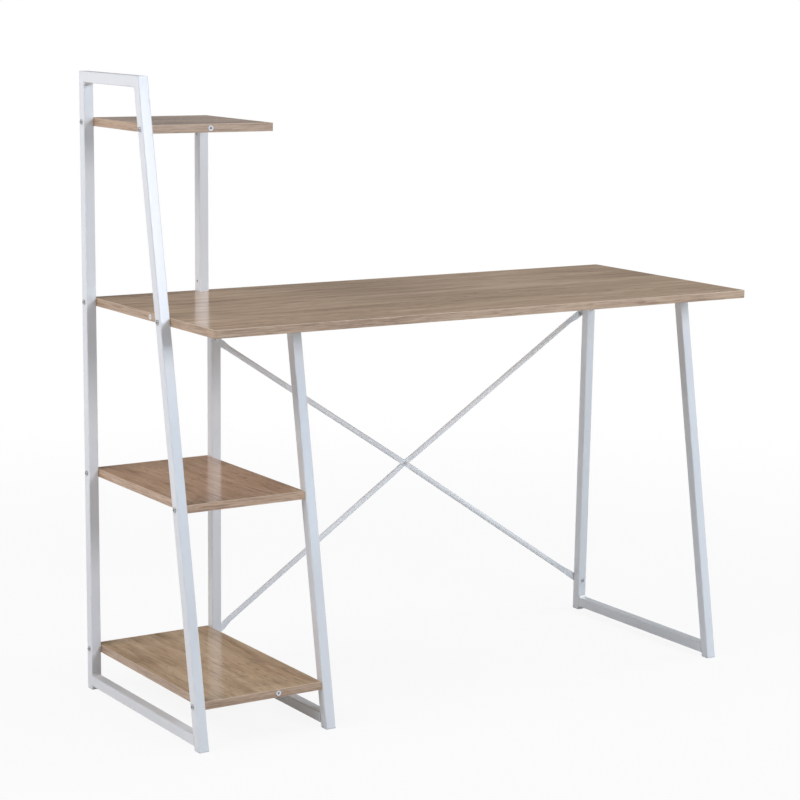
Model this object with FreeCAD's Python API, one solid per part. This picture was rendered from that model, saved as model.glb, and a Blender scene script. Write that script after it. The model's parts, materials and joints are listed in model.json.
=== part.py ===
# Ladder desk: tall ladder frame on the left, two trestle frames, four boards, a post and a crossed brace
import FreeCAD, Part
import math
import os

# Overall sizes in millimetres
TOTAL_WIDTH = 1208.0
DESK_DEPTH = 480.0
DESK_HEIGHT = 757.0
LADDER_HEIGHT = 1172.0
FOOT_SETBACK = 23.0
LEAN_SHARE = 0.186

# Boards
BOARD_T = 15.0
BAND_T = 1.0
BAND_EDGE_R = 0.8
BAND_SEAM = 0.1
DESK_CORNER_R = 6.0
SHELF_LENGTH = 243.0
SHELF_SETBACK = 2.0
TOP_SHELF_DROP = 84.0
MIDDLE_SHELF_HEIGHT = 432.0
BOTTOM_SHELF_HEIGHT = 87.0

# Steel tube
TUBE = 20.0
WALL = 1.2
TUBE_R = 2.0
RAIL_LIFT = 7.0
DESK_OVERHANG = 14.0

# Weld beads in the inner corners of the frames
WELD_LEG = 6.0
WELD_HOLLOW_SHARE = 0.3

# Foot plugs
FOOT_T = 2.0
PLUG_DEPTH = 14.0

# Bolts, nuts and press-in nuts
BOLT_D = 5.0
HEAD_D = 9.0
HEAD_H = 2.5
HEAD_EDGE_R = 1.2
CROSS_L = 4.8
CROSS_W = 1.1
CROSS_DEPTH = 1.3
NUT_AF = 8.0
NUT_H = 4.0
BOLT_TAIL = 2.0
INSERT_D = 10.0
INSERT_L = 14.0
THREAD_BORE_D = 4.2
TIP_GAP = 2.0
UNDER_SKIN = 4.0
RAIL_BOLT_IN = 50.0

# Places of the unused press-in nuts, as shares of the edge they sit in
TOP_SPARE_SHARE = 0.48
BOTTOM_SPARE_SHARE = 0.625
DESK_SPARE_SHARE = 0.498

# Post under the top shelf
POST_INSET = 6.0
POST_PLUG_H = 32.0
POST_LOCK_HEIGHT = 19.0
LOCK_D = 4.0
LOCK_L = 6.0
SCREW_D = 4.0
SCREW_HEAD_D = 7.0
SCREW_HEAD_H = 3.0
POST_SCREW_SEAT = 8.0

# Crossed brace
BRACE_D = 11.0
BRACE_FLAT_T = 2.4
BRACE_FLAT_W = 14.0
BRACE_MID_W = 11.0
BRACE_END_FLAT = 28.0
BRACE_MID_FLAT = 10.0
BRACE_TAPER = 20.0
BRACE_HIGH_DROP = 93.0
BRACE_LOW_DROP = 15.5
BRACE_BOW = 4.5
BRACE_HEAD_D = 8.5
BRACE_BOLT_PITCH = 20.0
CENTRE_BOLT_D = 4.0
CENTRE_HEAD_D = 7.0
CENTRE_HEAD_H = 2.0
CENTRE_NUT_AF = 7.0
CENTRE_NUT_H = 2.6

# Fits: gap round a part in its hole, and how far a cutter runs past what it cuts
GAP = 0.3
OVERRUN = 5.0

# Sizes that follow from the ones above
FOOT_REACH = DESK_DEPTH - FOOT_SETBACK
DESK_UNDER = DESK_HEIGHT - BOARD_T
TOP_SHELF_HEIGHT = LADDER_HEIGHT - TOP_SHELF_DROP
SLANT_TUBE = TUBE * math.sqrt(1 + LEAN_SHARE * LEAN_SHARE)
TUBE_BORE = TUBE - 2 * WALL
USED_BORE = BOLT_D + 2 * GAP
SHELF_END = TUBE + SHELF_LENGTH
MIDDLE_X = SHELF_END
RIGHT_X = TOTAL_WIDTH - DESK_OVERHANG - TUBE
POST_X = SHELF_END - POST_INSET - TUBE
POST_AXIS = POST_X + TUBE / 2
BRACE_HIGH = DESK_HEIGHT - BRACE_HIGH_DROP
BRACE_LOW = BOTTOM_SHELF_HEIGHT - BOARD_T / 2 - BRACE_LOW_DROP
LEVELS = (TOP_SHELF_HEIGHT, DESK_HEIGHT, MIDDLE_SHELF_HEIGHT, BOTTOM_SHELF_HEIGHT)
SHARED_LEVELS = (MIDDLE_SHELF_HEIGHT, BOTTOM_SHELF_HEIGHT)

# The origin sits on the floor under the middle of the bounding box
SHIFT = FreeCAD.Vector((HEAD_H - TOTAL_WIDTH) / 2, (DESK_DEPTH - BRACE_D) / 2, 0)

RIGHTWARD = FreeCAD.Vector(1, 0, 0)
FRONTWARD = FreeCAD.Vector(0, -1, 0)
REARWARD = FreeCAD.Vector(0, 1, 0)
UPWARD = FreeCAD.Vector(0, 0, 1)


# A point from distances to the right, to the front and up
def place(right, front, up):
    return FreeCAD.Vector(right, -front, up)


# Front face of a front leg at a height, measured from the rear plane
def reach(height):
    return FOOT_REACH - LEAN_SHARE * height


# Middle of a front leg at a height
def leg_middle(height):
    return reach(height) - SLANT_TUBE / 2


def rod(base, direction, diameter, length):
    return Part.makeCylinder(diameter / 2, length, base, direction)


# A clearance hole that runs past both ends of its length
def drill(base, direction, diameter, length):
    start = base - direction * OVERRUN
    return rod(start, direction, diameter + 2 * GAP, length + 2 * OVERRUN)


# A blind hole: it runs past its mouth only
def pocket(mouth, direction, diameter, depth):
    start = mouth - direction * OVERRUN
    return rod(start, direction, diameter + 2 * GAP, depth + OVERRUN)


# Lays a shape drawn along the upward axis onto another axis
def lay(shape, base, direction):
    shape.Placement = FreeCAD.Placement(base, FreeCAD.Rotation(UPWARD, direction))
    return shape


# A square bar with rounded long edges, standing on the origin
def bar(side, radius, length):
    corner = FreeCAD.Vector(-side / 2, -side / 2, 0)
    block = Part.makeBox(side, side, length, corner)
    long_edges = [e for e in block.Edges if e.BoundBox.ZLength > length / 2]
    return block.makeFillet(radius, long_edges)


# A flat plate in side view, given by its corners, from one distance to the right to another
def side_plate(corners, left, right):
    ring = [FreeCAD.Vector(left, p.y, p.z) for p in corners]
    face = Part.Face(Part.makePolygon(ring + ring[:1]))
    return face.extrude(RIGHTWARD * (right - left))


# A straight frame member from its four side-view corners: outer line, then inner line, from start to end
def member(left, corners, inset, hollow):
    outer_a, outer_b, inner_b, inner_a = corners
    along = (outer_b - outer_a).normalize()
    away = RIGHTWARD.cross(along)
    if away.dot(outer_a - inner_a) < 0:
        away = away * -1
    side = TUBE - 2 * inset
    axis = outer_a - away * (TUBE / 2)
    marks = [(p - axis).dot(along) for p in corners]
    start = min(marks) - OVERRUN
    length = max(marks) + OVERRUN - start
    solid = bar(side, max(TUBE_R - inset, GAP), length)
    if hollow:
        solid = solid.cut(bar(TUBE_BORE, TUBE_R - WALL, length))
    base = axis + along * start
    base.x = left + TUBE / 2
    turn = FreeCAD.Rotation(RIGHTWARD, along.cross(RIGHTWARD), along, "ZXY")
    solid.Placement = FreeCAD.Placement(base, turn)
    cut_a = (outer_a - inner_a).normalize() * OVERRUN
    cut_b = (outer_b - inner_b).normalize() * OVERRUN
    clip = (outer_a + cut_a, outer_b + cut_b, inner_b - cut_b, inner_a - cut_a)
    return solid.common(side_plate(clip, left - OVERRUN, left + TUBE + OVERRUN))


# Side-view corners of the upright between two heights, the top mitred towards the top rail
def upright_corners(foot, top):
    return (place(0, 0, foot), place(0, 0, top), place(0, TUBE, top - TUBE), place(0, TUBE, foot))


# Side-view corners of the leaning leg between two heights, the top mitred
def leg_corners(foot, top):
    inner_top = place(0, reach(top - TUBE) - SLANT_TUBE, top - TUBE)
    inner_foot = place(0, reach(foot) - SLANT_TUBE, foot)
    return (place(0, reach(foot), foot), place(0, reach(top), top), inner_top, inner_foot)


def top_rail_corners(top):
    inner_front = place(0, reach(top - TUBE) - SLANT_TUBE, top - TUBE)
    return (place(0, 0, top), place(0, reach(top), top), inner_front, place(0, TUBE, top - TUBE))


def bottom_rail_corners():
    low = RAIL_LIFT
    high = RAIL_LIFT + TUBE
    front_low = place(0, reach(low) - SLANT_TUBE, low)
    front_high = place(0, reach(high) - SLANT_TUBE, high)
    return (place(0, TUBE, high), front_high, front_low, place(0, TUBE, low))


# Four welded tubes of one frame, still without holes
def frame(left, top):
    return {
        "rear": member(left, upright_corners(FOOT_T, top), 0, True),
        "front": member(left, leg_corners(FOOT_T, top), 0, True),
        "top": member(left, top_rail_corners(top), 0, True),
        "bottom": member(left, bottom_rail_corners(), 0, True),
    }


# Weld bead in a corner between two tubes, from one toe on each tube, hollowed towards the corner
def weld_bead(left, corner, toe_a, toe_b):
    middle = (toe_a + toe_b) / 2
    crown = middle + (corner - middle) * WELD_HOLLOW_SHARE
    sides = [
        Part.LineSegment(corner, toe_a),
        Part.Arc(toe_a, crown, toe_b),
        Part.LineSegment(toe_b, corner),
    ]
    section = Part.Face(Part.Wire([side.toShape() for side in sides]))
    bead = section.extrude(RIGHTWARD * (TUBE - 2 * TUBE_R))
    bead.translate(RIGHTWARD * (left + TUBE_R))
    return bead


# Beads in the four inner corners of one frame
def weld_beads(left, top):
    beads = []
    for height, rise in ((top - TUBE, -WELD_LEG), (RAIL_LIFT + TUBE, WELD_LEG)):
        toe_height = height + rise
        leg_back = reach(height) - SLANT_TUBE
        leg_back_at_toe = reach(toe_height) - SLANT_TUBE
        for front, front_at_toe, inward in ((TUBE, TUBE, WELD_LEG), (leg_back, leg_back_at_toe, -WELD_LEG)):
            corner = place(0, front, height)
            rail_toe = place(0, front + inward, height)
            leg_toe = place(0, front_at_toe, toe_height)
            beads.append(weld_bead(left, corner, rail_toe, leg_toe))
    return beads


# Plastic plug under one leg: a flat foot and a block inside the tube
def foot_plug(left, front_at, thickness):
    def corners(low, high):
        return (place(0, front_at(low), low), place(0, front_at(high), high),
                place(0, front_at(high) - thickness, high), place(0, front_at(low) - thickness, low))
    foot = member(left, corners(0, FOOT_T), 0, False)
    block = member(left, corners(FOOT_T / 2, PLUG_DEPTH), WALL + GAP, False)
    return foot.fuse(block).removeSplitter()


# Pan-head bolt: the head stands below the origin, the shank runs up the axis
def bolt(base, direction, length, head_d):
    head = Part.makeCylinder(head_d / 2, HEAD_H, FreeCAD.Vector(0, 0, -HEAD_H))
    rim = [e for e in head.Edges if e.BoundBox.ZMax < -HEAD_H / 2]
    head = head.makeFillet(HEAD_EDGE_R, rim)
    for long_side, short_side in ((CROSS_L, CROSS_W), (CROSS_W, CROSS_L)):
        corner = FreeCAD.Vector(-long_side / 2, -short_side / 2, -HEAD_H - OVERRUN)
        head = head.cut(Part.makeBox(long_side, short_side, CROSS_DEPTH + OVERRUN, corner))
    shank = rod(FreeCAD.Vector(0, 0, 0), UPWARD, BOLT_D, length)
    return lay(head.fuse(shank).removeSplitter(), base, direction)


def hex_nut(base, direction, across_flats, height, bore):
    radius = across_flats / math.sqrt(3)
    turns = [math.pi * i / 3 for i in range(6)]
    ring = [FreeCAD.Vector(radius * math.cos(a), radius * math.sin(a), 0) for a in turns]
    nut = Part.Face(Part.makePolygon(ring + ring[:1])).extrude(UPWARD * height)
    nut = nut.cut(drill(FreeCAD.Vector(0, 0, 0), UPWARD, bore, height))
    return lay(nut, base, direction)


# Press-in nut with its mouth at the base and its bore right through
def press_nut(mouth, direction, length, bore):
    nut = rod(mouth, direction, INSERT_D, length)
    return nut.cut(rod(mouth - direction * OVERRUN, direction, bore, length + 2 * OVERRUN))


# Screw with a flat-bottomed head: the head stands below the origin
def wood_screw(base, direction, length):
    head = rod(FreeCAD.Vector(0, 0, -SCREW_HEAD_H), UPWARD, SCREW_HEAD_D, SCREW_HEAD_H)
    shank = rod(FreeCAD.Vector(0, 0, 0), UPWARD, SCREW_D, length)
    return lay(head.fuse(shank).removeSplitter(), base, direction)


# Slab from the rear plane to the front, inset all round, its corners rounded except the rear left one
def slab(left, right, front, inset, radius, height):
    x0, x1 = left + inset, right - inset
    y0, y1 = -front + inset, -inset
    block = Part.makeBox(x1 - x0, y1 - y0, BOARD_T, FreeCAD.Vector(x0, y0, height - BOARD_T))
    if radius <= 0:
        return block
    uprights = [e for e in block.Edges if e.BoundBox.ZLength > BOARD_T / 2]
    rear_left = [e for e in uprights if e.BoundBox.XMax < x1 and e.BoundBox.YMin > y0]
    rounded = [e for e in uprights if not any(e.isSame(k) for k in rear_left)]
    return block.makeFillet(radius, rounded)


# A slab of full size with its upper and lower outline eased
def eased_slab(left, right, front, radius, height):
    block = slab(left, right, front, 0, radius, height)
    outline = [e for e in block.Edges if e.BoundBox.ZLength < BOARD_T / 2]
    return block.makeFillet(BAND_EDGE_R, outline)


# Core of the desktop and the strip wrapped round its edge
def desk_board(left, right, front, height):
    core = slab(left, right, front, BAND_T, DESK_CORNER_R - BAND_T, height)
    whole = eased_slab(left, right, front, DESK_CORNER_R, height)
    return core, whole.cut(core)


# Core of a square-cornered board and its four edge strips
def shelf_board(left, right, front, height):
    core = slab(left, right, front, BAND_T, 0, height)
    whole = eased_slab(left, right, front, 0, height)
    low = height - BOARD_T
    length = right - left
    blocks = []
    for y in (-front, -BAND_T):
        blocks.append(Part.makeBox(length, BAND_T, BOARD_T, FreeCAD.Vector(left, y, low)))
    butt = BAND_T + BAND_SEAM
    for x in (left, right - BAND_T):
        corner = FreeCAD.Vector(x, butt - front, low)
        blocks.append(Part.makeBox(BAND_T, front - 2 * butt, BOARD_T, corner))
    return core, [whole.common(block) for block in blocks]


# Section of a brace where it is round: four arcs that start at the corners of the flat section
def round_section(at):
    r = BRACE_D / 2
    eighth = math.pi / 4

    def on_ring(turns):
        return FreeCAD.Vector(at, r + r * math.cos(turns * eighth), r * math.sin(turns * eighth))
    arcs = [Part.Arc(on_ring(k), on_ring(k + 1), on_ring(k + 2)).toShape() for k in (1, 3, 5, 7)]
    return Part.Wire(arcs)


# Section of a brace where it is pressed flat
def flat_section(at, near, width):
    far = near + BRACE_FLAT_T
    half = width / 2
    corners = ((far, half), (near, half), (near, -half), (far, -half))
    points = [FreeCAD.Vector(at, y, z) for y, z in corners]
    return Part.makePolygon(points + points[:1])


# Half of a brace from its end bolt to a little past the crossing, pressed flat at both
def half_brace(end, crossing, middle_near):
    span = (crossing - end).Length
    stops = [flat_section(at, 0, BRACE_FLAT_W) for at in (0, BRACE_END_FLAT)]
    stops.append(round_section(BRACE_END_FLAT + BRACE_TAPER))
    stops.append(round_section(span - BRACE_MID_FLAT - BRACE_TAPER))
    for at in (span - BRACE_MID_FLAT, span + GAP):
        stops.append(flat_section(at, middle_near, BRACE_MID_W))
    solid = Part.makeLoft(stops, True, True)
    tip = FreeCAD.Vector(0, 0, 0)
    solid = solid.fuse(rod(tip, REARWARD, BRACE_FLAT_W, BRACE_FLAT_T))
    solid = solid.cut(drill(tip, REARWARD, BOLT_D, BRACE_FLAT_T))
    solid.Placement = FreeCAD.Placement(end, FreeCAD.Rotation(RIGHTWARD, crossing - end))
    return solid


# One brace between two bolts, bowed up a little where it crosses the other one
def brace(start, end, middle_near):
    crossing = (start + end) / 2 + UPWARD * BRACE_BOW
    halves = [half_brace(bolt_at, crossing, middle_near) for bolt_at in (start, end)]
    solid = halves[0].fuse(halves[1])
    solid = solid.cut(drill(crossing, REARWARD, CENTRE_BOLT_D, BRACE_D))
    return solid.removeSplitter()


nodes = {}

# Frames
ladder = frame(0, LADDER_HEIGHT)
middle = frame(MIDDLE_X, DESK_UNDER)
right = frame(RIGHT_X, DESK_UNDER)

# Boards and their edge strips
desk_core, desk_band = desk_board(TUBE, TOTAL_WIDTH, DESK_DEPTH, DESK_HEIGHT)
boards = {DESK_HEIGHT: desk_core}
bands = {DESK_HEIGHT: [desk_band]}
for level in (TOP_SHELF_HEIGHT, MIDDLE_SHELF_HEIGHT, BOTTOM_SHELF_HEIGHT):
    boards[level], bands[level] = shelf_board(TUBE, SHELF_END, reach(level) - SHELF_SETBACK, level)


# Makes the hole for a press-in nut in a board and its edge strip
def bore_board(level, mouth, direction, depth):
    hole = pocket(mouth, direction, INSERT_D, depth)
    boards[level] = boards[level].cut(hole)
    bands[level] = [strip.cut(hole) for strip in bands[level]]


# Bolts from the ladder frame into the left ends of all four boards
edge_nuts = []
ladder_bolts = []
grip = INSERT_L - TIP_GAP
for level in LEVELS:
    height = level - BOARD_T / 2
    for name, front in (("rear", TUBE / 2), ("front", leg_middle(height))):
        outside = place(0, front, height)
        inside = place(TUBE, front, height)
        ladder[name] = ladder[name].cut(drill(outside, RIGHTWARD, BOLT_D, TUBE))
        ladder_bolts.append(bolt(outside, RIGHTWARD, TUBE + grip, HEAD_D))
        bore_board(level, inside, RIGHTWARD, INSERT_L)
        edge_nuts.append(press_nut(inside, RIGHTWARD, INSERT_L, USED_BORE))

# Bolts from the middle frame into the right ends of the two lower shelves
shelf_bolts = []
for level in SHARED_LEVELS:
    height = level - BOARD_T / 2
    for name, front in (("rear", TUBE / 2), ("front", leg_middle(height))):
        outside = place(MIDDLE_X + TUBE, front, height)
        inside = place(MIDDLE_X, front, height)
        middle[name] = middle[name].cut(drill(inside, RIGHTWARD, BOLT_D, TUBE))
        shelf_bolts.append(bolt(outside, RIGHTWARD * -1, TUBE + grip, HEAD_D))
        bore_board(level, inside, RIGHTWARD * -1, INSERT_L)
        edge_nuts.append(press_nut(inside, RIGHTWARD * -1, INSERT_L, USED_BORE))

# Bolts from the top rails of the two low frames up into the desktop
rail_bolts = []
under_nuts = []
under_depth = BOARD_T - UNDER_SKIN
for tubes, left in ((middle, MIDDLE_X), (right, RIGHT_X)):
    for front in (RAIL_BOLT_IN, reach(DESK_UNDER) - RAIL_BOLT_IN):
        below = place(left + TUBE / 2, front, DESK_UNDER - TUBE)
        above = place(left + TUBE / 2, front, DESK_UNDER)
        tubes["top"] = tubes["top"].cut(drill(below, UPWARD, BOLT_D, TUBE))
        rail_bolts.append(bolt(below, UPWARD, TUBE + under_depth - TIP_GAP, HEAD_D))
        bore_board(DESK_HEIGHT, above, UPWARD, under_depth)
        under_nuts.append(press_nut(above, UPWARD, under_depth, USED_BORE))

# Press-in nuts that nothing is bolted to
spare_nuts = []
top_front = reach(TOP_SHELF_HEIGHT) - SHELF_SETBACK
bottom_front = reach(BOTTOM_SHELF_HEIGHT) - SHELF_SETBACK
spares = [
    (TOP_SHELF_HEIGHT, TUBE + SHELF_LENGTH * TOP_SPARE_SHARE, top_front, REARWARD),
    (BOTTOM_SHELF_HEIGHT, TUBE + SHELF_LENGTH * BOTTOM_SPARE_SHARE, bottom_front, REARWARD),
    (DESK_HEIGHT, TUBE, DESK_DEPTH * DESK_SPARE_SHARE, RIGHTWARD),
]
for level, across, front, inward in spares:
    mouth = place(across, front, level - BOARD_T / 2)
    bore_board(level, mouth, inward, INSERT_L)
    spare_nuts.append(press_nut(mouth, inward, INSERT_L, THREAD_BORE_D))

# Post between desktop and top shelf, slipped over a plug at each end and locked from the side
shelf_under = TOP_SHELF_HEIGHT - BOARD_T
post_length = shelf_under - DESK_HEIGHT
post = bar(TUBE, TUBE_R, post_length).cut(bar(TUBE_BORE, TUBE_R - WALL, post_length))
post.translate(place(POST_AXIS, TUBE / 2, DESK_HEIGHT))
plug_side = TUBE_BORE - 2 * GAP
screw_grip = BOARD_T - UNDER_SKIN
post_plugs = []
post_screws = []
post_locks = []
for level, seat, upward in ((DESK_HEIGHT, DESK_HEIGHT, 1), (TOP_SHELF_HEIGHT, shelf_under, -1)):
    axis = UPWARD * upward
    foot = place(POST_AXIS, TUBE / 2, seat)
    plug = bar(plug_side, TUBE_R - WALL, POST_PLUG_H)
    plug = lay(plug, foot, axis)
    plug = plug.cut(drill(foot, axis, SCREW_D, POST_PLUG_H))
    plug = plug.cut(rod(foot + axis * POST_SCREW_SEAT, axis, SCREW_HEAD_D + 2 * GAP, POST_PLUG_H))
    lock_mouth = place(POST_X, TUBE / 2, seat) + axis * POST_LOCK_HEIGHT
    lock_reach = RIGHTWARD * (WALL + GAP)
    lock_hole = pocket(lock_mouth, RIGHTWARD, LOCK_D, LOCK_L)
    post = post.cut(pocket(lock_mouth, RIGHTWARD, LOCK_D, WALL + GAP))
    post_plugs.append(plug.cut(lock_hole))
    post_locks.append(rod(lock_mouth + lock_reach, RIGHTWARD, LOCK_D, LOCK_L - WALL - GAP))
    screw_seat = foot + axis * POST_SCREW_SEAT
    post_screws.append(wood_screw(screw_seat, axis * -1, POST_SCREW_SEAT + screw_grip))
    boards[level] = boards[level].cut(pocket(foot, axis * -1, SCREW_D, screw_grip + TIP_GAP))

# Crossed brace behind the rear legs of the middle and right frames
middle_axis = MIDDLE_X + TUBE / 2
right_axis = RIGHT_X + TUBE / 2
half_depth = BRACE_D / 2
upper_left = place(middle_axis, 0, BRACE_HIGH)
lower_left = place(middle_axis, 0, BRACE_LOW)
upper_right = place(right_axis, 0, BRACE_HIGH)
lower_right = place(right_axis, 0, BRACE_LOW)
falling = brace(upper_left, lower_right, half_depth - BRACE_FLAT_T)
rising = brace(lower_left, upper_right, half_depth)
brace_bolts = []
brace_nuts = []
flat_grip = BRACE_FLAT_T + NUT_H + BOLT_TAIL
to_flat_back = REARWARD * BRACE_FLAT_T
for tubes, seats in ((middle, (upper_left, lower_left)), (right, (upper_right, lower_right))):
    for seat in seats:
        leg_front = seat + FRONTWARD * TUBE
        tubes["rear"] = tubes["rear"].cut(drill(leg_front, REARWARD, BOLT_D, TUBE))
        brace_bolts.append(bolt(leg_front, REARWARD, TUBE + flat_grip, BRACE_HEAD_D))
        brace_nuts.append(hex_nut(seat + to_flat_back, REARWARD, NUT_AF, NUT_H, BOLT_D))

# Second bolt in the upper end of the rising brace, beside the right rear leg
to_crossing = (lower_left - upper_right) / 2 + UPWARD * BRACE_BOW
second_seat = upper_right + to_crossing.normalize() * BRACE_BOLT_PITCH
rising = rising.cut(drill(second_seat, REARWARD, BOLT_D, BRACE_FLAT_T))
brace_bolts.append(bolt(second_seat, REARWARD, flat_grip, BRACE_HEAD_D))
brace_nuts.append(hex_nut(second_seat + to_flat_back, REARWARD, NUT_AF, NUT_H, BOLT_D))

# Screw and nut where the braces cross
crossing = (upper_left + lower_right) / 2 + UPWARD * BRACE_BOW + REARWARD * (half_depth - BRACE_FLAT_T)
centre_head = rod(crossing, FRONTWARD, CENTRE_HEAD_D, CENTRE_HEAD_H)
centre_shank = rod(crossing, REARWARD, CENTRE_BOLT_D, 2 * BRACE_FLAT_T + CENTRE_NUT_H)
centre_back = crossing + REARWARD * (2 * BRACE_FLAT_T)
centre_nut = hex_nut(centre_back, REARWARD, CENTRE_NUT_AF, CENTRE_NUT_H, CENTRE_BOLT_D)

# Plugs under all six legs
foot_plugs = []
for left in (0, MIDDLE_X, RIGHT_X):
    foot_plugs.append(foot_plug(left, lambda height: TUBE, TUBE))
    foot_plugs.append(foot_plug(left, reach, SLANT_TUBE))

# Names of the pieces
frames = (
    ("ladder", ladder, 0, LADDER_HEIGHT),
    ("middle", middle, MIDDLE_X, DESK_UNDER),
    ("right", right, RIGHT_X, DESK_UNDER),
)
for title, tubes, left, top in frames:
    rear_name = "upright" if title == "ladder" else "leg"
    nodes[title + "_rear_" + rear_name] = tubes["rear"]
    nodes[title + "_front_leg"] = tubes["front"]
    nodes[title + "_top_rail"] = tubes["top"]
    nodes[title + "_bottom_rail"] = tubes["bottom"]
    nodes[title + "_weld_beads"] = Part.makeCompound(weld_beads(left, top))
board_names = {
    DESK_HEIGHT: "desktop",
    TOP_SHELF_HEIGHT: "top_shelf",
    MIDDLE_SHELF_HEIGHT: "middle_shelf",
    BOTTOM_SHELF_HEIGHT: "bottom_shelf",
}
for level, title in board_names.items():
    nodes[title + "_board"] = boards[level]
    nodes[title + "_edge_band"] = Part.makeCompound(bands[level])
nodes["shelf_post"] = post
nodes["post_plugs"] = Part.makeCompound(post_plugs)
nodes["post_plug_screws"] = Part.makeCompound(post_screws)
nodes["post_lock_screws"] = Part.makeCompound(post_locks)
nodes["falling_brace"] = falling
nodes["rising_brace"] = rising
nodes["brace_end_bolts"] = Part.makeCompound(brace_bolts)
nodes["brace_end_nuts"] = Part.makeCompound(brace_nuts)
nodes["brace_centre_screw"] = centre_head.fuse(centre_shank).removeSplitter()
nodes["brace_centre_nut"] = centre_nut
nodes["ladder_frame_bolts"] = Part.makeCompound(ladder_bolts)
nodes["middle_frame_shelf_bolts"] = Part.makeCompound(shelf_bolts)
nodes["top_rail_bolts"] = Part.makeCompound(rail_bolts)
nodes["board_end_nuts"] = Part.makeCompound(edge_nuts)
nodes["desktop_underside_nuts"] = Part.makeCompound(under_nuts)
nodes["spare_edge_nuts"] = Part.makeCompound(spare_nuts)
nodes["foot_plugs"] = Part.makeCompound(foot_plugs)

os.makedirs("parts", exist_ok=True)
for name, shape in nodes.items():
    shape.translate(SHIFT)
    shape.exportStep("parts/" + name + ".step")
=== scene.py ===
# Looks of the ladder desk: finishes, camera, lamps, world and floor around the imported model
import json
import math

import bpy
from mathutils import Matrix, Vector

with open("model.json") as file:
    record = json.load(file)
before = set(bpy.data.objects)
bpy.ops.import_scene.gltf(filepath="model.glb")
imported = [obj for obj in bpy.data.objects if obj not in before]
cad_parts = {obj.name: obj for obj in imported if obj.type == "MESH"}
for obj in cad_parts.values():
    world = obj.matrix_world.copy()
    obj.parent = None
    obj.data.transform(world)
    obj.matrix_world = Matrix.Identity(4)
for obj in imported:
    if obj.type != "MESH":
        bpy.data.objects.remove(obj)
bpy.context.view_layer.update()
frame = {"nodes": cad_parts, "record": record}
nodes = frame["nodes"]

# Camera of the photograph: place in metres, angles in degrees, lens and sensor in millimetres
CAMERA_PLACE = (-2.4183, -3.6305, 1.3261)
CAMERA_YAW = 33.21
CAMERA_PITCH = 12.61
CAMERA_ROLL = 0.90
CAMERA_LENS = 102.76
CAMERA_SENSOR = 36.0
CAMERA_SHIFT_UP = 0.125

# Floor: lines of its square grid along both sides, and how far it lies under the feet, in metres
FLOOR_LINES = (-3000.0, -300.0, 300.0, 3000.0)
FLOOR_DROP = 0.0002
FLOOR_COLOUR = (0.69, 0.69, 0.69, 1)

# Share of the floor that shows white, near the desk and far off, and the distances in metres between which
# it grows. The rest takes the light and the shadow.
FLOOR_WHITE_SHARE = (0.9, 1.0)
FLOOR_WHITE_REACH = (1.0, 3.0)

# Softboxes stand round this point, all at one distance, in metres
LAMP_AIM = (0.0, 0.0, 0.6)
LAMP_DISTANCE = 4.2

# Softboxes: name, degrees right of the front, degrees up, side in metres, watts, colour
LAMPS = (
    ("front_softbox", 12, 19, 1.0, 69.0, (0.91, 0.92, 1.0)),
    ("front_high_softbox", 31, 30, 1.0, 18.0, (0.50, 0.77, 1.0)),
    ("front_low_softbox", 25, 8, 1.0, 9.5, (0.55, 0.80, 1.0)),
    ("left_softbox", -95, 38, 1.7, 68.0, (1.0, 0.96, 0.95)),
    ("left_front_softbox", -70, 36, 1.7, 33.5, (0.87, 0.925, 1.0)),
    ("left_rear_softbox", -120, 15, 1.7, 18.0, (0.92, 0.93, 1.0)),
    ("right_softbox", 80, 38, 1.7, 73.0, (0.97, 1.0, 0.97)),
    ("rear_right_softbox", 150, 38, 1.7, 18.0, (1.0, 0.88, 0.90)),
    ("rear_left_softbox", -150, 38, 1.7, 12.0, (0.6, 0.78, 1.0)),
    ("top_softbox", 0, 88, 1.7, 22.0, (1.0, 1.0, 1.0)),
)

# World brightness by the sine of the height above the horizon, all round and behind the desk. The second
# takes over towards one direction, between two cosines of the angle to it.
ROOM_STOPS = ((0.0, 0.02), (0.5, 0.01), (1.0, 0.01))
BACK_STOPS = ((0.0, 0.3), (0.06, 0.25), (0.14, 0.09), (0.6, 0.09), (0.7, 0.25))
BACK_TOWARDS = (0.55, 0.835, 0.0)
BACK_SPREAD = (0.35, 0.8)

# Patterns are noise: ripples per metre, then detail, roughness and distortion where they aren't the usual
# ones. A seed moves a pattern by these steps, and noise swings round the middle level.
USUAL_DETAIL = 2.0
USUAL_ROUGHNESS = 0.5
SEED_STEPS = (1.0, 1.7, 0.6)
MIDDLE_LEVEL = 0.5

# Places of two tones on a ramp
PAIR_STOPS = (0.3, 0.7)

# Powder coat: patches of tone, clouds in the gloss, orange peel and its depth in metres
COAT_PATCHES = (7.0, 3.0)
COAT_CLOUDS = 60.0
COAT_PEEL = 250.0
COAT_PEEL_DEPTH = 0.0003

# Coat of the tubes and duller coat of the thin braces: tones, range of roughness, strength of the peel
TUBE_COAT = (((0.775, 0.79, 0.81), (0.815, 0.83, 0.845)), (0.13, 0.19), 0.05)
BRACE_COAT = (((0.83, 0.84, 0.85), (0.87, 0.88, 0.885)), (0.46, 0.54), 0.01)

# Layers of the oak print: ripples per metre along and across the grain, then detail and roughness
GRAIN_BENDS = (2.2, 4.0, 1.0)
BANDS = (1.1, 16.0, 2.0)
STREAKS = (3.2, 55.0, 3.0, 0.55)
FIBRES = (16.0, 300.0, 3.0, 0.6)
FRAYS = (30.0, 120.0, 2.0)
PORES = (45.0, 240.0, 2.0)
RIDGES = (22.0, 900.0, 2.0)

# Body of the oak print: sideways wander in metres, shares of bands, streaks and fibres, places of the tones
GRAIN_WANDER = 0.05
BODY_SHARES = (0.55, 0.6, 0.5)
BODY_STOPS = (0.3, 0.45, 0.55, 0.7)

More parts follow.
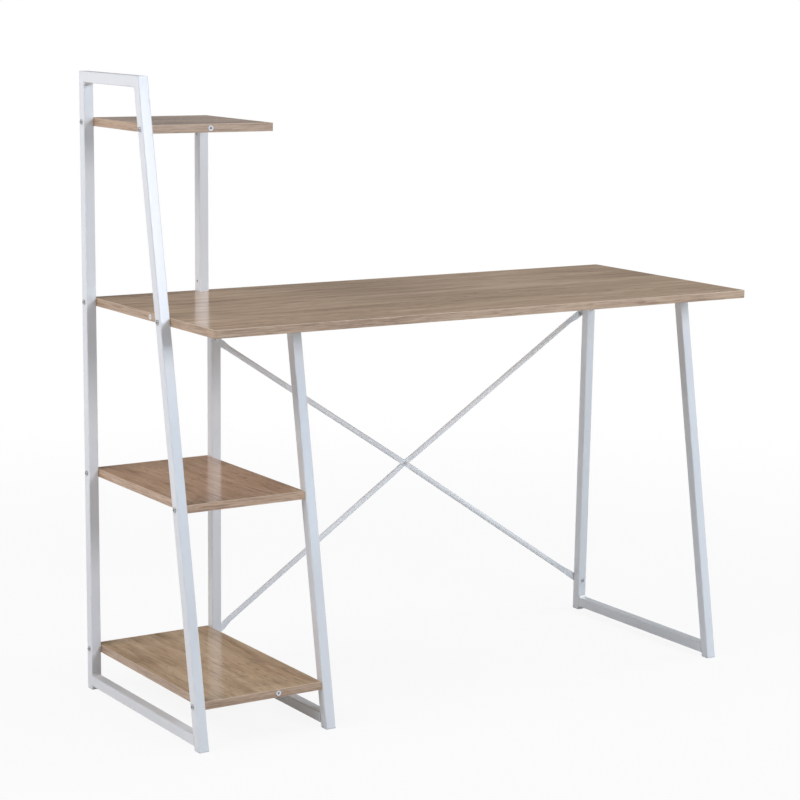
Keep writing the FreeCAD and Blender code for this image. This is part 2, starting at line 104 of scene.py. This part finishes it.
# Dark figure of the oak print: tint, detail, levels between which a line darkens, and the finer hatching, by
# its lines to one line of the figure and its share of the darkness
FIGURE_TINT = (0.60, 0.54, 0.50, 1)
FIGURE_DETAIL = 2.0
LINE_LEVELS = (0.2, 1.0)
HATCH_LEVELS = (0.0, 1.0)
HATCH_LINES = 5.0
HATCH_SHARE = 0.5

# Gaps that break the figure: ripples to one of the figure's, and the levels between which they close. The
# frays break the hatching, and the pores end, between levels of their own.
GAP_RIPPLES = 1.5
GAP_DETAIL = 2.0
GAP_LEVELS = (0.42, 0.66)
FRAY_LEVELS = (0.35, 0.6)
PORE_LEVELS = (0.3, 0.46)

# Zones with more and fewer pores: ripples to one of the figure's along and across, levels, least share
ZONE_RIPPLES = (0.8, 0.5)
ZONE_DETAIL = 1.0
ZONE_LEVELS = (0.38, 0.62)
ZONE_LEAST = 0.1

# Boards: range of roughness, and strength and depth in metres of the relief
BOARD_ROUGH = (0.13, 0.19)
BOARD_RELIEF = (0.04, 0.0001)

# Tones of the boards and of the edging, from dark to pale, and of the painted highlight on the edging's
# eased rim
DESK_TONES = ((0.39, 0.264, 0.164), (0.52, 0.364, 0.235), (0.57, 0.402, 0.265), (0.74, 0.545, 0.385))
TOP_TONES = ((0.32, 0.207, 0.14), (0.43, 0.293, 0.206), (0.52, 0.367, 0.262), (0.66, 0.475, 0.352))
LOWER_TONES = ((0.45, 0.30, 0.186), (0.56, 0.382, 0.246), (0.62, 0.432, 0.285), (0.70, 0.51, 0.35))
EDGE_TONES = ((0.30, 0.195, 0.13), (0.43, 0.29, 0.195), (0.50, 0.35, 0.24), (0.57, 0.415, 0.295))
PAINTED_RIM_HIGHLIGHT_TONE = (0.62, 0.47, 0.35, 1)

# Painted light and shade on the two lower shelves and the middle shelf's edging, as shares of red, green and
# blue: the middle shelf's print is darkened as painted shade, and the bottom shelf's print and the middle
# shelf's edging are lightened as painted light
MIDDLE_PAINTED_SHADE_SHARE = (0.95, 0.90, 0.87)
BOTTOM_PAINTED_LIGHT_SHARE = (1.02, 1.06, 1.03)
MIDDLE_EDGE_PAINTED_LIGHT_SHARE = (1.16, 1.14, 1.14)

# Oak prints: axis of the grain and seed, then ripples per metre of the figure along and across the grain,
# turns of its lines, their darkness, and the depth of the pores
DESK_PRINT = (0, 3.1, (1.4, 9.0), 3.0, 0.55, 0.25)
TOP_PRINT = (0, 7.7, (2.5, 12.0), 2.0, 0.5, 0.25)
LOWER_PRINT = (1, 5.3, (3.6, 22.0), 3.0, 0.6, 0.3)

# Edging: seed, ripples per metre along x, y and z of its layers, their shares, and places of the tones
EDGE_SEED = 2.4
EDGE_STREAKS = ((18.0, 18.0, 480.0), 3.0, 0.6, 0.3)
EDGE_BANDS = ((3.0, 3.0, 60.0), 2.0)
EDGE_FIBRES = ((60.0, 60.0, 900.0), 2.0)
EDGE_SHARES = (0.95, 0.4, 0.35)
EDGE_STOPS = (0.33, 0.445, 0.545, 0.67)

# Edging: upward parts of the normal between which the painted highlight on the rim comes in, range of
# roughness, relief
PAINTED_RIM_HIGHLIGHT_LEVELS = (0.1, 0.5)
EDGE_ROUGH = (0.28, 0.4)
EDGE_RELIEF = (0.1, 0.0001)

# Zinc plating: tones, range of roughness, patches, grinding marks and their relief
ZINC_TONES = ((0.40, 0.40, 0.41), (0.50, 0.50, 0.51))
ZINC_ROUGH = (0.12, 0.2)
ZINC_PATCHES = (320.0, 3.0)
ZINC_MARKS = (2600.0, 500.0, 500.0)
ZINC_RELIEF = (0.12, 0.0001)

# Plastics: patches, moulded texture and its relief, then the tones and the range of roughness of each
PLASTIC_PATCHES = (90.0, 3.0)
PLASTIC_TEXTURE = 1800.0
PLASTIC_RELIEF = (0.1, 0.0001)
WHITE_PLASTIC = (((0.78, 0.78, 0.78), (0.84, 0.84, 0.84)), (0.25, 0.35))
GREY_PLASTIC = (((0.60, 0.60, 0.61), (0.68, 0.68, 0.69)), (0.45, 0.55))


class Nodes:
    """Short calls that add nodes to the tree of a material or a world."""

    def __init__(self, owner):
        owner.use_nodes = True
        self.tree = owner.node_tree

    def join(self, value, socket):
        if isinstance(value, bpy.types.NodeSocket):
            self.tree.links.new(value, socket)
        else:
            socket.default_value = value

    def add(self, kind, inputs=None, **settings):
        node = self.tree.nodes.new(kind)
        for name, value in settings.items():
            setattr(node, name, value)
        for name, value in (inputs or {}).items():
            self.join(value, node.inputs[name])
        return node

    def maths(self, operation, *values):
        node = self.add("ShaderNodeMath", operation=operation)
        for value, socket in zip(values, node.inputs):
            self.join(value, socket)
        return node.outputs["Value"]

    # Maps a value onto low to high, from the two levels given last
    def span(self, value, low, high, from_low=0.0, from_high=1.0, smooth=False):
        kind = "SMOOTHSTEP" if smooth else "LINEAR"
        inputs = {"Value": value, "From Min": from_low, "From Max": from_high, "To Min": low, "To Max": high}
        return self.add("ShaderNodeMapRange", inputs, interpolation_type=kind).outputs["Result"]

    def blend(self, factor, a, b, mode="MIX"):
        node = self.add("ShaderNodeMix", data_type="RGBA", blend_type=mode)
        sockets = {socket.identifier: socket for socket in node.inputs}
        for name, value in (("Factor_Float", factor), ("A_Color", a), ("B_Color", b)):
            self.join(value, sockets[name])
        return next(socket for socket in node.outputs if socket.identifier == "Result_Color")

    def ramp(self, value, stops, tones):
        node = self.add("ShaderNodeValToRGB", {"Fac": value})
        elements = node.color_ramp.elements
        while len(elements) < len(stops):
            elements.new(1.0)
        for element, at, tone in zip(elements, stops, tones):
            element.position = at
            element.color = (*tone, 1)
        return node.outputs["Color"]

    def grey(self, value):
        inputs = {"Red": value, "Green": value, "Blue": value}
        return self.add("ShaderNodeCombineColor", inputs).outputs["Color"]

    # Weighted sum of patterns that swing round the middle level
    def sum_of(self, shares, patterns):
        total = MIDDLE_LEVEL
        for share, pattern in zip(shares, patterns):
            swing = self.maths("SUBTRACT", pattern, MIDDLE_LEVEL)
            total = self.maths("MULTIPLY_ADD", swing, share, total)
        return total


class Surface(Nodes):
    """A new material with a principled surface, laid out in the part's own metres."""

    def __init__(self, name):
        self.material = bpy.data.materials.new(name)
        super().__init__(self.material)
        self.shader = self.tree.nodes["Principled BSDF"]
        self.place = self.add("ShaderNodeTexCoord").outputs["Object"]

    def set(self, **values):
        for name, value in values.items():
            self.join(value, self.shader.inputs[name.replace("_", " ")])

    def noise(self, scale, detail=USUAL_DETAIL, roughness=USUAL_ROUGHNESS, distortion=0.0, seed=0.0):
        offset = [seed * step for step in SEED_STEPS]
        scales = (scale, scale, scale) if isinstance(scale, float) else scale
        inputs = {"Vector": self.place, "Scale": scales, "Location": offset}
        vector = self.add("ShaderNodeMapping", inputs).outputs["Vector"]
        inputs = {"Vector": vector, "Scale": 1.0, "Detail": detail,
                  "Roughness": roughness, "Distortion": distortion}
        return self.add("ShaderNodeTexNoise", inputs).outputs["Fac"]

    # Shifts the layout sideways along one axis, by a pattern that swings round the middle level
    def bend(self, pattern, reach, axis):
        swing = self.maths("SUBTRACT", pattern, MIDDLE_LEVEL)
        node = self.add("ShaderNodeVectorMath", operation="MULTIPLY_ADD")
        sideways = [reach * (k == axis) for k in range(3)]
        for value, socket in zip((swing, sideways, self.place), node.inputs):
            self.join(value, socket)
        self.place = node.outputs["Vector"]

    def bump(self, height, strength, depth):
        inputs = {"Height": height, "Strength": strength, "Distance": depth}
        self.set(Normal=self.add("ShaderNodeBump", inputs).outputs["Normal"])


# White powder coat: nearly even colour, gloss with a faint orange peel
def powder_coat(name, tones, rough, peel):
    made = Surface(name)
    patches = made.noise(*COAT_PATCHES)
    made.set(Base_Color=made.ramp(patches, PAIR_STOPS, tones))
    made.set(Roughness=made.span(made.noise(COAT_CLOUDS), *rough))
    made.bump(made.noise(COAT_PEEL), peel, COAT_PEEL_DEPTH)
    return made.material


# Oak print on melamine: soft bands and streaks along the grain, broken dark figure, short pores.
# The figure follows level lines of a slow noise, so it waves and closes like the rings in a sawn board.
def oak(name, tones, axis, seed, figure, turns, darkness, pore_depth):
    made = Surface(name)

    def layer(along, across, *settings):
        scale = tuple(along if k == axis else across for k in range(3))
        return made.noise(scale, *settings, seed=seed)

    made.bend(layer(*GRAIN_BENDS), GRAIN_WANDER, 1 - axis)
    bands, streaks, fibres = (layer(*kind) for kind in (BANDS, STREAKS, FIBRES))
    body = made.sum_of(BODY_SHARES, (bands, streaks, fibres))
    colour = made.ramp(body, BODY_STOPS, tones)

    turn = made.maths("MULTIPLY", layer(*figure, FIGURE_DETAIL), 2 * math.pi * turns)
    line = made.span(made.maths("SINE", turn), 0.0, 1.0, *LINE_LEVELS, smooth=True)
    finer_turn = made.maths("MULTIPLY", turn, HATCH_LINES)
    hatch = made.span(made.maths("SINE", finer_turn), 0.0, 1.0, *HATCH_LEVELS, smooth=True)
    gaps = layer(*[ripples * GAP_RIPPLES for ripples in figure], GAP_DETAIL)
    broken = made.span(gaps, 0.0, darkness, *GAP_LEVELS, smooth=True)
    frayed = made.span(layer(*FRAYS), 0.0, HATCH_SHARE * darkness, *FRAY_LEVELS)
    for pattern, strength in ((line, broken), (hatch, frayed)):
        colour = made.blend(made.maths("MULTIPLY", pattern, strength), colour, FIGURE_TINT, "MULTIPLY")

    pores = made.span(layer(*PORES), 1.0 - pore_depth, 1.0, *PORE_LEVELS)
    zones = layer(*[ripples * share for ripples, share in zip(figure, ZONE_RIPPLES)], ZONE_DETAIL)
    zone = made.span(zones, ZONE_LEAST, 1.0, *ZONE_LEVELS, smooth=True)
    made.set(Base_Color=made.blend(zone, colour, made.grey(pores), "MULTIPLY"))
    made.set(Roughness=made.span(fibres, *BOARD_ROUGH))
    made.bump(layer(*RIDGES), *BOARD_RELIEF)
    return made.material


# Edging strip: the print runs along the edge, whichever way the edge runs, and a painted highlight pales its
# eased rim where it faces up
def edging(name, tones):
    made = Surface(name)
    layers = [made.noise(*kind, seed=EDGE_SEED) for kind in (EDGE_STREAKS, EDGE_BANDS, EDGE_FIBRES)]
    fibres = layers[-1]
    colour = made.ramp(made.sum_of(EDGE_SHARES, layers), EDGE_STOPS, tones)
    facing = made.add("ShaderNodeNewGeometry").outputs["Normal"]
    rise = made.add("ShaderNodeSeparateXYZ", {"Vector": facing}).outputs["Z"]
    # Painted highlight: the colour turns paler where the normal faces up, on the eased rim
    made.set(Base_Color=made.blend(made.span(rise, 0.0, 1.0, *PAINTED_RIM_HIGHLIGHT_LEVELS), colour, PAINTED_RIM_HIGHLIGHT_TONE))
    made.set(Roughness=made.span(fibres, *EDGE_ROUGH))
    made.bump(fibres, *EDGE_RELIEF)
    return made.material


def zinc():
    made = Surface("zinc_plated_steel")
    patches = made.noise(*ZINC_PATCHES)
    made.set(Base_Color=made.ramp(patches, PAIR_STOPS, ZINC_TONES))
    made.set(Roughness=made.span(patches, *ZINC_ROUGH), Metallic=1.0)
    made.bump(made.noise(ZINC_MARKS), *ZINC_RELIEF)
    return made.material


def plastic(name, tones, rough):
    made = Surface(name)
    patches = made.noise(*PLASTIC_PATCHES)
    made.set(Base_Color=made.ramp(patches, PAIR_STOPS, tones))
    made.set(Roughness=made.span(patches, *rough))
    made.bump(made.noise(PLASTIC_TEXTURE), *PLASTIC_RELIEF)
    return made.material


# Copies of tones made darker or lighter by shares, as painted shade or painted light
def with_painted_light(tones, share):
    return [[level * part for level, part in zip(tone, share)] for tone in tones]


# Finishes of the record's material slots
FINISHES = {
    "white_steel": powder_coat("white_powder_coat", *TUBE_COAT),
    "desktop_oak": oak("desktop_oak", DESK_TONES, *DESK_PRINT),
    "top_shelf_oak": oak("top_shelf_oak", TOP_TONES, *TOP_PRINT),
    "oak_edging": edging("oak_edging", EDGE_TONES),
    "zinc_steel": zinc(),
    "white_plastic": plastic("white_plastic", *WHITE_PLASTIC),
    "grey_plastic": plastic("grey_plastic", *GREY_PLASTIC),
}

# Nodes with a finish of their own
brace_coat = powder_coat("brace_powder_coat", *BRACE_COAT)
NODE_FINISHES = {
    "falling_brace": brace_coat,
    "rising_brace": brace_coat,
    # The lower shelves and the middle shelf's edging take copies of the oak tones with painted light and
    # shade
    "middle_shelf_board": oak("middle_shelf_oak_painted_shade", with_painted_light(LOWER_TONES, MIDDLE_PAINTED_SHADE_SHARE), *LOWER_PRINT),
    "bottom_shelf_board": oak("bottom_shelf_oak_painted_light", with_painted_light(LOWER_TONES, BOTTOM_PAINTED_LIGHT_SHARE), *LOWER_PRINT),
    "middle_shelf_edge_band": edging("middle_edging_painted_light", with_painted_light(EDGE_TONES, MIDDLE_EDGE_PAINTED_LIGHT_SHARE)),
}


# Gives every node its own finish, or else the finish of its slot in the record
def dress_nodes():
    for part in frame["record"]["subparts"]:
        finish = NODE_FINISHES.get(part["node"]) or FINISHES[part["material_slot"]]
        for slot in nodes[part["node"]].material_slots:
            slot.material = finish


def make_camera():
    data = bpy.data.cameras.new("photo_camera")
    data.lens = CAMERA_LENS
    data.sensor_width = CAMERA_SENSOR
    data.shift_y = CAMERA_SHIFT_UP
    camera = bpy.data.objects.new("photo_camera", data)
    bpy.context.scene.collection.objects.link(camera)
    turn = Matrix.Rotation(math.radians(-CAMERA_YAW), 4, "Z")
    tilt = Matrix.Rotation(math.radians(90 - CAMERA_PITCH), 4, "X")
    roll = Matrix.Rotation(math.radians(CAMERA_ROLL), 4, "Z")
    camera.matrix_world = Matrix.Translation(CAMERA_PLACE) @ turn @ tilt @ roll
    bpy.context.scene.camera = camera


# Floor that shows white to the camera and in reflections, and still takes the shadow
def make_floor():
    mesh = bpy.data.meshes.new("floor")
    side = len(FLOOR_LINES)
    corners = [(x, y, -FLOOR_DROP) for y in FLOOR_LINES for x in FLOOR_LINES]
    starts = [side * row + column for row in range(side - 1) for column in range(side - 1)]
    mesh.from_pydata(corners, [], [(k, k + 1, k + side + 1, k + side) for k in starts])
    floor = bpy.data.objects.new("floor", mesh)
    bpy.context.scene.collection.objects.link(floor)
    made = Surface("floor_white")
    output = made.tree.nodes["Material Output"]
    path = made.add("ShaderNodeLightPath").outputs
    seen = made.maths("MAXIMUM", path["Is Camera Ray"], path["Is Glossy Ray"])
    seen = made.maths("MAXIMUM", seen, path["Is Transmission Ray"])
    matt = made.add("ShaderNodeBsdfDiffuse", {"Color": FLOOR_COLOUR}).outputs["BSDF"]
    white = made.add("ShaderNodeEmission", {"Strength": 1.0}).outputs["Emission"]
    reach = made.add("ShaderNodeVectorMath", {"Vector": made.place}, operation="LENGTH").outputs["Value"]
    share = made.span(reach, *FLOOR_WHITE_SHARE, *FLOOR_WHITE_REACH, smooth=True)
    mix = made.add("ShaderNodeMixShader", {"Fac": made.maths("MULTIPLY", seen, share)})
    made.join(matt, mix.inputs[1])
    made.join(white, mix.inputs[2])
    made.join(mix.outputs["Shader"], output.inputs["Surface"])
    made.tree.nodes.remove(made.shader)
    # Lamps light the desk, so no light samples go to the floor's white
    made.material.cycles.emission_sampling = "NONE"
    mesh.materials.append(made.material)


# Square softboxes that face the desk and stay out of the picture
def make_lamps():
    for name, right, up, side, power, colour in LAMPS:
        data = bpy.data.lights.new(name, "AREA")
        data.shape = "SQUARE"
        data.size = side
        data.energy = power
        data.color = colour
        lamp = bpy.data.objects.new(name, data)
        bpy.context.scene.collection.objects.link(lamp)
        flat = math.cos(math.radians(up))
        outward = Vector((math.sin(math.radians(right)) * flat, -math.cos(math.radians(right)) * flat,
                          math.sin(math.radians(up))))
        lamp.location = Vector(LAMP_AIM) + outward * LAMP_DISTANCE
        lamp.rotation_mode = "QUATERNION"
        lamp.rotation_quaternion = (-outward).to_track_quat("-Z", "Y")
        lamp.visible_camera = False


# Dim room all round the desk, a little lighter behind it
def make_world():
    world = bpy.data.worlds.new("studio")
    bpy.context.scene.world = world
    # The world is dim and smooth, so light samples go to the lamps alone
    world.cycles.sampling_method = "NONE"
    made = Nodes(world)
    towards = made.add("ShaderNodeTexCoord").outputs["Generated"]
    rise = made.add("ShaderNodeSeparateXYZ", {"Vector": towards}).outputs["Z"]
    facing = made.add("ShaderNodeVectorMath", operation="DOT_PRODUCT")
    made.join(towards, facing.inputs[0])
    made.join(BACK_TOWARDS, facing.inputs[1])
    behind = made.span(facing.outputs["Value"], 0.0, 1.0, *BACK_SPREAD, smooth=True)
    levels = []
    for stops in (ROOM_STOPS, BACK_STOPS):
        heights, tones = zip(*[(height, (level, level, level)) for height, level in stops])
        levels.append(made.ramp(rise, heights, tones))
    background = made.tree.nodes["Background"]
    made.join(made.blend(behind, *levels), background.inputs["Color"])


dress_nodes()
make_camera()
make_floor()
make_lamps()
make_world()
bpy.context.scene.view_settings.view_transform = "Standard"
